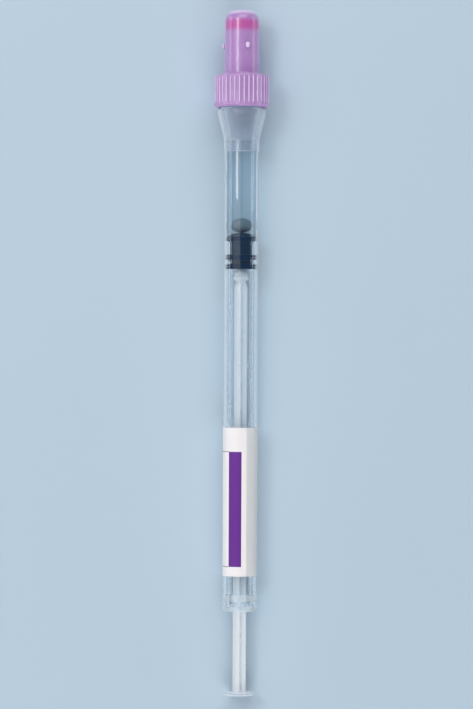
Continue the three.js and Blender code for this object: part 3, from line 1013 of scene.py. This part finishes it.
@dataclass
class Barrel(TubePiece):
    """The clear drawn barrel with its base and the piston's catch."""

    sectors: int = 144
    bore: float = 3.1
    foot_radius: float = 3.845
    shoulder_radius: float = 3.995
    shoulder: float = 105.8
    length: float = 108.4
    catch_low: float = 2.45
    catch_length: float = 1.3
    catch_depth: float = 0.28
    catch_slope: float = 0.39
    notches: int = 12
    notch_width: float = 0.62
    notch_share: float = 0.4  # how much of half a notch is at full depth
    notch_sharpness: float = 5.0
    plug: float = 3.6  # outside radius of the end that the neck goes over
    rod_hole: float = 1.98
    floor: float = 1.4
    collar: float = 2.4  # how high the collar round the rod hole stands

    def radius(self, height: float) -> float:
        """The outside's radius at a height."""
        return lerp(self.foot_radius, self.shoulder_radius, height / self.shoulder)

    def build(self) -> bpy.types.Object:
        """Turns the wall and cuts the catch into lugs."""
        low, top = self.catch_low, self.catch_low + self.catch_length
        crest = self.bore - self.catch_depth
        slope = self.catch_slope
        section = Section((
            (self.rod_hole, 0, 0.2), (self.foot_radius, 0, 0.5),
            (self.shoulder_radius, self.shoulder, 0.12), (self.plug, self.shoulder, 0.05),
            (self.plug, self.length, 0.12), (self.bore, self.length, 0.04),
            (self.bore, top, 0.08), (crest, top - slope, 0.12), (crest, low + slope, 0.12),
            (self.bore, low, 0.08), (self.bore, self.floor, 0.12), (2.68, self.floor, 0.06),
            (2.33, self.collar, 0.08), (self.rod_hole, self.collar, 0.06),
        ))
        barrel = Workpiece.turned("barrel_clear", section, self.sectors)
        barrel.edit(Part.POINTS)
        barrel.reshape(self._notched)
        leave_edit()
        barrel.weld()
        return self.fit(barrel, "tube", CLEAR, "barrel")

    def _notched(self, radius: float, angle: float, height: float) -> float:
        """Opens the catch to the bore's own radius in each notch.

        Args:
            radius: A point's radius.
            angle: Its angle in degrees.
            height: Its height.

        Returns:
            The point's new radius.
        """
        in_catch = self.catch_low < height < self.catch_low + self.catch_length
        is_inside = self.bore - 2 * self.catch_depth < radius < self.bore
        if not in_catch or not is_inside:
            return radius
        pitch = 360 / self.notches
        off = math.radians(apart(angle, round(angle / pitch) * pitch)) * radius
        past = max(off / self.notch_width - self.notch_share, 0) * self.notch_sharpness
        return lerp(self.bore, radius, min(past, 1))


@dataclass
class Neck(TubePiece):
    """The frosted threaded neck, pressed over the barrel's end."""

    sectors: int = 144
    height: float = 105.82
    throat: float = 4.6  # outside radius that the thread stands on
    thread_low: float = 10.85
    thread_length: float = 3.1
    thread: Thread = field(default_factory=Thread)

    def build(self) -> bpy.types.Object:
        """Turns the body and adds the thread."""
        section = Section((
            (3.65, 0, 0.05), (4.05, 0, 0.1), (4.05, 2.9, 1), (5.4, 8.1, 1.2), (5.5, 9.6, 0.25),
            (self.throat, 10.3, 0.1), (self.throat, 14.8, 0.2), (4.0, 14.8, 0.15), (4.0, 7.8, 1),
            (3.1, 3.4, 0.6), (3.1, 2.9), (3.65, 2.9),
        ))
        neck = Workpiece.turned("neck_frosted", section.raised(self.height), self.sectors)
        low = self.height + self.thread_low
        neck.combine(
            self.thread.ridge("neck_thread", self.throat, False, low, self.thread_length)
        )
        neck.weld()
        return self.fit(neck, "tube", FROSTED, "neck")


@dataclass
class Label(TubePiece):
    """The paper wrap, with a clear window between its two upright edges."""

    barrel: Barrel
    low: float = 8.2
    length: float = 34.1
    thickness: float = 0.14
    glued: float = 0.03  # how far its inner face is drawn into the wall, so that they touch
    slack: float = 0.03
    window: tuple[float, float] = (21.6, 98.0)
    corner: float = 0.7
    strip_angle: float = 2.4
    overlap: float = 8.0
    film_thickness: float = 0.08

    def build(self) -> bpy.types.Object:
        """Wraps the printed sheet and lays the window's film under its two edges."""
        first, last = self.window
        film = self._wrapped(
            "label_window_film", (first - self.overlap, last + self.overlap), 0.0,
            self.film_thickness,
        )
        self.fit(film, "tube", LABEL_FILM, None)
        paper = self._wrapped("label_wrap", (last, first + 360), self.corner, self.thickness)
        return self.fit(paper, "tube", LABEL, "label")

    def _wrapped(
        self, name: str, angles: tuple[float, float], corner: float, thickness: float
    ) -> Workpiece:
        """Cuts a flat sheet, rounds its corners and wraps it round the barrel.

        Args:
            name: The sheet's name.
            angles: Where it starts and ends round the barrel.
            corner: The reach of its rounded corners.
            thickness: Its thickness, of which a little is drawn into the wall.

        Returns:
            The sheet.
        """
        first, last = angles
        wrap = last - first
        middle = self.low + self.length / 2
        radius = self.barrel.radius(middle) + self.slack
        width = math.radians(wrap) * radius
        sheet = Workpiece.start(name, bpy.ops.mesh.primitive_plane_add, size=1.0)
        sheet.edit(Part.POINTS)
        select_all()
        bpy.ops.transform.rotate(value=math.pi / 2, orient_axis="X", center_override=(0, 0, 0))
        bpy.ops.transform.resize(value=(width, 1, self.length), center_override=(0, 0, 0))
        if corner:
            bpy.ops.mesh.bevel(offset=corner, segments=6, affect="VERTICES")
        strips = round(wrap / self.strip_angle)
        for k in range(1, strips):
            select_all()
            bpy.ops.mesh.bisect(plane_co=(width * (k / strips - 0.5), 0, 0), plane_no=(1, 0, 0))
        leave_edit()
        sheet.modify(
            "SIMPLE_DEFORM", deform_method="BEND", deform_axis="Z", angle=math.radians(wrap)
        )
        sheet.move(Matrix.Translation((0, -radius, middle)))
        sheet.edit(Part.POINTS)
        sheet.reshape(lambda r, _, h: self.barrel.radius(h) - self.glued)
        select_all()
        bpy.ops.mesh.normals_make_consistent(inside=False)
        leave_edit()
        sheet.modify("SOLIDIFY", thickness=thickness, offset=self._outward(sheet))
        sheet.weld()
        sheet.turn((first + last) / 2)
        return sheet

    @staticmethod
    def _outward(sheet: Workpiece) -> float:
        """The solidify offset that puts the paper's thickness on the outside."""
        face = sheet.obj.data.polygons[len(sheet.obj.data.polygons) // 2]
        outward = face.normal.x * face.center.x + face.normal.y * face.center.y
        return 1.0 if outward > 0 else -1.0


@dataclass
class Piston(TubePiece):
    """The rubber piston: three double lips, a domed crown and a socket for the rod."""

    sectors: int = 120
    lip: float = 3.11  # squeezed a hair into the bore, so that it wets the wall
    core: float = 2.6
    groove: float = 0.08  # between a lip's two beads
    flare: float = 0.55
    step: float = 0.14
    lips: tuple[tuple[float, float], ...] = ((0.0, 1.1), (2.2, 3.25), (6.5, 7.4))
    dome_height: float = 0.9
    dome_steps: int = 9

    def _lip(self, low: float, high: float, is_first: bool, is_last: bool) -> list[Corner]:
        """Lays out one lip: a flare, two rounded beads and the step back.

        Args:
            low: Height of its lower edge.
            high: Height of its upper edge.
            is_first: Whether it is the lowest, with no flare.
            is_last: Whether it is the highest, with no step back.

        Returns:
            Its corners, from below.
        """
        middle, dip = (low + high) / 2, self.lip - self.groove
        flare = [] if is_first else [(self.core, low - self.flare, 0.2)]
        back = [] if is_last else [(self.core, high + self.step, 0.1)]
        beads = [
            (self.lip, low, 0.1), (self.lip, middle - self.groove, 0.03), (dip, middle, 0.03),
            (self.lip, middle + self.groove, 0.03), (self.lip, high, 0.1),
        ]
        return flare + beads + back

    def build(self) -> bpy.types.Object:
        """Turns the piston about the tube's line."""
        sides: list[Corner] = []
        for i, (low, high) in enumerate(self.lips):
            sides += self._lip(low, high, i == 0, i == len(self.lips) - 1)
        crown_foot = self.lips[-1][1]
        dome = (self.core**2 + self.dome_height**2) / (2 * self.dome_height)
        centre = crown_foot + self.dome_height - dome
        radii = [self.core * k / self.dome_steps for k in range(self.dome_steps - 1, -1, -1)]
        crown = [(r, centre + math.sqrt(dome**2 - r**2)) for r in radii]
        corners = [
            (0, 2.9), (1.55, 2.9, 0.4), (1.55, 0.8, 0.3), (1.15, 0.6), (1.15, 0, 0.15),
            *sides, (self.core, crown_foot, 0.1), *crown,
        ]
        section = Section(corners, closed=False).raised(PISTON_REST)
        return self.fit(
            Workpiece.turned("piston_rubber_seal", section, self.sectors),
            "plunger", PISTON_RUBBER, "piston",
        )


@dataclass
class Rod(TubePiece):
    """The snap-off rod: a cross-shaped shaft, its head in the piston and a thumb disc."""

    tip: float = 1.53
    rib: float = 0.95
    edge: float = 0.16
    turned_by: float = -20.0
    break_height: float = -3.1
    disc_face: float = -97.4
    disc_radius: float = 3.484
    disc_thickness: float = 0.62
    sunk: float = 0.3  # how far the shaft reaches into the disc
    inner_edge: float = 0.12
    waist: float = 0.98
    waist_length: float = 1.2
    waist_cuts: tuple[float, ...] = (1.3, 1.1, 0.85, 0.6, 0.35, 0.15)  # below the break
    nub_radius: float = 0.45
    nub_reach: float = 0.25
    nub_height: float = 75.2  # above the disc

    def _shaft(self) -> Workpiece:
        """Extrudes a cross from a bar, rounds its edges and narrows it to the break."""
        half, low, high = self.rib / 2, self.disc_face - self.sunk, self.break_height
        shaft = Workpiece.start("plunger_shaft", bpy.ops.mesh.primitive_cube_add, size=1.0)
        shaft.edit(Part.POINTS)
        select_all()
        bpy.ops.transform.resize(value=(self.rib, self.rib, high - low), center_override=(0, 0, 0))
        bpy.ops.transform.translate(value=(0, 0, (high + low) / 2))
        for way in (Vector((1, 0, 0)), Vector((0, 1, 0)), Vector((-1, 0, 0)), Vector((0, -1, 0))):
            shaft.pick(
                lambda c, n: n.dot(way) > 0.9 and (c.xy - way.xy * half).length < 0.01, Part.FACES
            )
            move = {"value": way * (self.tip - half)}
            bpy.ops.mesh.extrude_region_move(TRANSFORM_OT_translate=move)
        shaft.pick(lambda c, d: abs(d.z) > 0.9 and c.xy.length > self.tip - 0.05, Part.EDGES)
        bpy.ops.mesh.bevel(offset=self.edge, segments=4, affect="EDGES")
        shaft.pick(lambda c, d: abs(d.z) > 0.9 and c.xy.length < self.rib * 0.75, Part.EDGES)
        bpy.ops.mesh.bevel(offset=self.inner_edge, segments=3, affect="EDGES")
        for below in self.waist_cuts:
            select_all()
            bpy.ops.mesh.bisect(plane_co=(0, 0, high - below), plane_no=(0, 0, 1))
        shaft.reshape(lambda r, _, h: min(r, self._waist(h)))
        leave_edit()
        return shaft

    def _waist(self, height: float) -> float:
        """How far the shaft may reach at a height, near the break."""
        share = min(max((self.break_height - height) / self.waist_length, 0), 1)
        return lerp(self.waist, self.tip + 0.01, share**0.75)

    def build(self) -> bpy.types.Object:
        """Joins shaft, head, disc and nubs into one moulding."""
        cut = self.break_height
        rod = self._shaft()
        head = Section((
            (0, cut - 0.3), (1.05, cut - 0.3, 0.1), (1.05, cut + 0.15, 0.1),
            (1.8, cut + 0.765, 0.2), (1.8, cut + 1.19, 0.2), (1.46, cut + 1.7, 0.1),
            (1.46, -0.8, 0.4), (1.0, -0.15, 0.2), (1.0, 0.95, 0.1), (1.4, 1.45, 0.2),
            (1.4, 2.75, 0.5), (0, 2.75),
        ), closed=False)
        rod.combine(Workpiece.turned("rod_head", head, 96))
        top, low = self.disc_face, self.disc_face - self.disc_thickness
        disc = Section((
            (0, low + 0.08), (2.2, low + 0.08, 0.3), (2.7, low, 0.2), (self.disc_radius, low, 0.2),
            (self.disc_radius, top, 0.2), (2.0, top + 0.02, 0.3), (0, top + 0.05),
        ), closed=False)
        rod.combine(Workpiece.turned("rod_disc", disc, 120))
        nub = Workpiece.start(
            "rod_nub", bpy.ops.mesh.primitive_ico_sphere_add, subdivisions=4,
            radius=self.nub_radius,
        )
        out = self.tip + self.nub_reach - self.nub_radius
        nub.move(Matrix.Translation((0, -out, self.disc_face + self.nub_height)))
        for copy in [nub.copy_turned(angle) for angle in (90, 180, 270)] + [nub]:
            rod.combine(copy)
        rod.weld()
        rod.turn(self.turned_by)
        rod.move(Matrix.Translation((0, 0, PISTON_REST)))
        rod.obj.name = "plunger_rod_moulding"
        return self.fit(rod, "plunger", ROD_PLASTIC, "plunger_rod")


@dataclass
class Ball(TubePiece):
    """The mixing ball, with the fine flash line of its mould."""

    radius: float = 1.698
    height: float = 88.66
    below: float = 1.3  # how far under the tube's line it lies
    flash: float = 0.006
    flash_reach: float = 0.12
    flash_turn: float = 38.0

    def build(self) -> bpy.types.Object:
        """Shapes a sphere with a raised parting line."""
        ball = Workpiece.start(
            "mixing_ball_grey", bpy.ops.mesh.primitive_uv_sphere_add, segments=64, ring_count=33,
            radius=self.radius - self.flash,
        )
        ball.edit(Part.POINTS)
        ball.reshape(lambda r, _, h: r + self.flash if abs(h) < self.flash_reach else r)
        leave_edit()
        ball.move(Matrix.Rotation(math.radians(self.flash_turn), 4, "X"))
        ball.move(Matrix.Translation((0, self.below, self.height)))
        return self.fit(ball, "plunger", BALL_PLASTIC, "mixing_ball")


@dataclass
class Solution(TubePiece):
    """The clear additive between piston and barrel end."""

    sectors: int = 144
    depth: float = 7.35  # its foot above the piston's lowest lip
    top: float = 108.3
    low_end: float = 88.0  # a lower height along the tube
    high_end: float = 105.4  # an upper height along the tube

    def build(self) -> bpy.types.Object:
        """Turns the filled space, a hair into the wall that it wets."""
        foot = PISTON_REST + self.depth
        section = Section((
            (0, foot + 0.6), (1.6, foot + 0.35), (2.5, foot - 0.2), (3.0, foot - 0.15, 0.05),
            (3.12, foot + 0.12, 0.05), (3.12, 105.7, 0.1), (2.94, 105.9, 0.1),
            (2.94, self.top, 0.2), (0, self.top),
        ), closed=False)
        obj = self.dress(
            Workpiece.turned("additive_solution_fill", section, self.sectors), SOLUTION
        )
        start, end = (self.line.point(0, 0, h) for h in (self.low_end, self.high_end))
        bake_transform(obj)
        log.info("%s: %d faces between plunger and tube", obj.name, len(obj.data.polygons))
        return obj


@dataclass
class Cap(TubePiece):
    """The ribbed screw cap with its spigot, thread and three bayonet pips."""

    ribs: int = 36
    sectors_per_rib: int = 14
    skirt: float = 6.338
    flute_floor: float = 6.1
    rib_width: float = 0.5
    band: float = 0.7
    run_in: float = 0.2  # how far above the band the flutes reach their full depth
    pip_angles: tuple[float, ...] = (18.2, 138.2, 258.2)
    pip_height: float = 14.2
    pip_radius: float = 0.5
    pip_shape: tuple[float, float, float] = (1.1, 1.46, 1.5)
    pip_shoulder: float = 0.52
    pip_flatness: float = 0.55
    pip_out: float = 3.98
    inside: float = 5.3  # radius that the thread stands on
    thread_low: float = 0.65
    thread_length: float = 3.4
    thread: Thread = field(default_factory=Thread)

    def _shell(self) -> Workpiece:
        """Turns skirt and spigot in one section, from the outer lower edge round and back."""
        section = Section((
            (self.inside, 0, 0.15), (self.skirt, 0, 0.6), (self.skirt, self.band + 0.3),
            (self.skirt, 4.4), (self.skirt, 7.6, 1.5), (4.35, 7.6, 0.12), (4.05, 7.9, 0.25),
            (3.9, 20.85, 0.7),
            (2.65, 22.29, 0.3), (1.4, 22.29, 0.12), (1.4, 20.7, 0.05), (3.25, 20.7), (3.25, 18.0),
            (3.0, 17.75, 0.05), (3.0, 4.95), (3.4, 4.95), (3.4, 3.6, 0.1), (3.85, 3.6, 0.15),
            (3.85, 5.0), (self.inside, 5.0, 0.2),
        ))
        return Workpiece.turned(
            "screw_cap_moulding", section.raised(CAP_HEIGHT), self.ribs * self.sectors_per_rib
        )

    def _fluted(self, radius: float, angle: float, height: float) -> float:
        """Cuts the flutes between the skirt's ribs.

        Args:
            radius: A point's radius.
            angle: Its angle in degrees.
            height: Its height.

        Returns:
            The point's new radius.
        """
        above = height - CAP_HEIGHT - self.band
        if above < 0.05 or radius < self.flute_floor:
            return radius
        pitch = 360 / self.ribs
        nearest = round(angle / pitch - 0.5) * pitch + pitch / 2
        off = math.radians(apart(angle, nearest)) * self.skirt
        depth = min((2 * off / self.rib_width) ** 2, 1) * min(above / self.run_in, 1)
        return lerp(radius, self.flute_floor, depth)

    def _pip(self) -> Workpiece:
        """One bayonet pip: a rounded lug with a flattened crown."""
        pip = Workpiece.start(
            "cap_pip", bpy.ops.mesh.primitive_uv_sphere_add, segments=40, ring_count=24,
            radius=self.pip_radius,
        )
        pip.edit(Part.POINTS)
        select_all()
        bpy.ops.transform.resize(value=self.pip_shape, center_override=(0, 0, 0))
        shoulder = -self.pip_shoulder
        pip.pick(lambda co, _: co.y < shoulder)
        bpy.ops.transform.resize(
            value=(1, self.pip_flatness, 1), center_override=(0, shoulder, 0)
        )
        leave_edit()
        pip.move(Matrix.Translation((0, -self.pip_out, CAP_HEIGHT + self.pip_height)))
        return pip

    def build(self) -> bpy.types.Object:
        """Shapes the shell, its ribs, thread and pips."""
        cap = self._shell()
        cap.edit(Part.POINTS)
        cap.reshape(self._fluted)
        leave_edit()
        cap.weld()
        pip = self._pip()
        extras = [pip.copy_turned(angle) for angle in self.pip_angles]
        bpy.data.objects.remove(pip.obj)
        low = CAP_HEIGHT + self.thread_low
        extras.append(
            self.thread.ridge("cap_thread", self.inside, True, low, self.thread_length)
        )
        for extra in extras:
            cap.combine(extra)
        cap.weld()
        return self.fit(cap, "cap", CAP_PLASTIC, "screw_cap")


@dataclass
class Septum(TubePiece):
    """The pierceable rubber disc in the cap's end."""

    sectors: int = 96
    height: float = 134.05

    def build(self) -> bpy.types.Object:
        """Turns the disc, its skirt and the dimple that the needle finds."""
        section = Section((
            (0, 0.9), (2.45, 0.9, 0.3), (2.45, 0, 0.15), (3.2, 0, 0.3), (3.2, 2.4, 0.3),
            (1.15, 2.4, 0.3), (0.9, 2.28, 0.2), (0, 2.2),
        ), closed=False)
        piece = Workpiece.turned("septum_disc", section.raised(self.height), self.sectors)
        return self.fit(piece, "septum", SEPTUM_RUBBER, "septum")


# ---- The studio ----


@dataclass(frozen=True)
class SoftLight:
    """A plain rectangular lamp, placed by the angle that it stands at."""

    name: str
    angle: float  # degrees from straight up towards +X
    rise: float  # degrees from there towards the cap
    distance: float
    width: float
    length: float
    radiance: float
    height: float = 60.0  # what it faces, along the tube, in millimetres
    colour: tuple[float, float, float] = (1.0, 1.0, 1.0)

    def build(self, line: TubeLine) -> None:
        """Hangs the lamp so that it faces the tube."""
        data = bpy.data.lights.new(self.name, "AREA")
        data.shape = "RECTANGLE"
        data.size, data.size_y = self.width, self.length
        data.energy = self.radiance * math.pi * self.width * self.length
        data.color = self.colour
        lamp = bpy.data.objects.new(self.name, data)
        bpy.context.scene.collection.objects.link(lamp)
        aim = line.point(0, 0, self.height)
        turn, rise = math.radians(self.angle), math.radians(self.rise)
        around = line.across * math.sin(turn) - line.down * math.cos(turn)
        away = around * math.cos(rise) + line.along * math.sin(rise)
        side = line.along.cross(away).normalized()
        lamp.matrix_world = Matrix.Translation(aim + away * self.distance) @ Matrix(
            (side, away.cross(side), away)
        ).transposed().to_4x4()


@dataclass
class Studio:
    """The bench, the lamps and the camera."""

    line: TubeLine
    bench: Srgb = (186, 205, 219)
    bench_size: float = 6.0
    bench_gap: float = 0.00002  # how far the top lies under the tube
    sky: Srgb = (222, 232, 246)
    sky_level: float = 0.15
    lamps: tuple[SoftLight, ...] = (
        SoftLight("side_softbox", -33, 0, 0.95, 0.95, 1.3, 0.6),
        SoftLight("cap_softbox", -30, 21, 1.0, 0.26, 0.4, 6.4),
        SoftLight("head_lamp", 8, 52, 1.1, 0.9, 0.8, 2.6),
        SoftLight("foot_lamp", 16, -50, 1.1, 0.9, 0.8, 2.6),
        SoftLight("right_strip", 84, 0, 0.9, 0.12, 1.4, 3.6),
        SoftLight("left_strip", -84, 0, 0.9, 0.12, 1.4, 4.0),
    )
    distance: float = 667.0
    lens: float = 147.0
    sensor: float = 36.0
    middle: float = 59.1
    aside: float = -0.97
    lean: float = 0.26

    def build(self) -> None:
        """Sets the bench under the tube, lights it and aims the camera."""
        self._bench()
        for lamp in self.lamps:
            lamp.build(self.line)
        self._sky()
        self._camera()

    def _bench(self) -> None:
        """A wide pale top with a barely visible grain."""
        clear_selection()
        bpy.ops.mesh.primitive_plane_add(size=self.bench_size, location=(0, 0, -self.bench_gap))
        bench = bpy.context.object
        bench.name = "bench_top"
        g = Graph("bench_laminate")
        coords = g.add("ShaderNodeTexCoord", output="Object")
        drift = g.noise(coords, 0.05, 4.0) * 0.02 + 1.0
        inputs = {"Base Color": g.tint(linear(self.bench), drift), "Roughness": 0.7}
        shader = g.add("ShaderNodeBsdfPrincipled", None, inputs)
        bench.data.materials.append(g.finish(shader))

    def _sky(self) -> None:
        """Even light from the room."""
        world = bpy.context.scene.world or bpy.data.worlds.new("room")
        bpy.context.scene.world = world
        world.use_nodes = True
        nodes = world.node_tree.nodes
        nodes.clear()
        room = nodes.new("ShaderNodeBackground")
        room.inputs["Color"].default_value = linear(self.sky)
        room.inputs["Strength"].default_value = self.sky_level
        out = nodes.new("ShaderNodeOutputWorld")
        world.node_tree.links.new(room.outputs[0], out.inputs[0])

    def _camera(self) -> None:
        """Looks down square to the tube, from a good arm's length."""
        data = bpy.data.cameras.new("camera")
        data.lens, data.sensor_width = self.lens, self.sensor
        data.clip_start, data.clip_end = 0.01, 20.0
        camera = bpy.data.objects.new("camera", data)
        bpy.context.scene.collection.objects.link(camera)
        lean = math.radians(self.lean)
        right = self.line.across * math.cos(lean) + self.line.along * math.sin(lean)
        up = self.line.along * math.cos(lean) - self.line.across * math.sin(lean)
        turn = Matrix((right, up, -self.line.down)).transposed().to_4x4()
        eye = self.line.point(self.aside, self.distance, self.middle)
        camera.matrix_world = Matrix.Translation(eye) @ turn
        bpy.context.scene.camera = camera


def main() -> None:
    """Builds every piece, the studio and the camera."""
    logging.basicConfig(level=logging.INFO, format="%(message)s")
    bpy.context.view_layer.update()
    line = TubeLine.from_joints(frame["joints"])
    barrel = Barrel(line)
    pieces = [
        barrel, Neck(line), Label(line, barrel), Piston(line), Rod(line), Ball(line),
        Solution(line), Cap(line), Septum(line),
    ]
    for piece in pieces:
        piece.build()
    Studio(line).build()
    bpy.context.scene.view_settings.view_transform = "Standard"


if __name__ == "__main__":
    main()
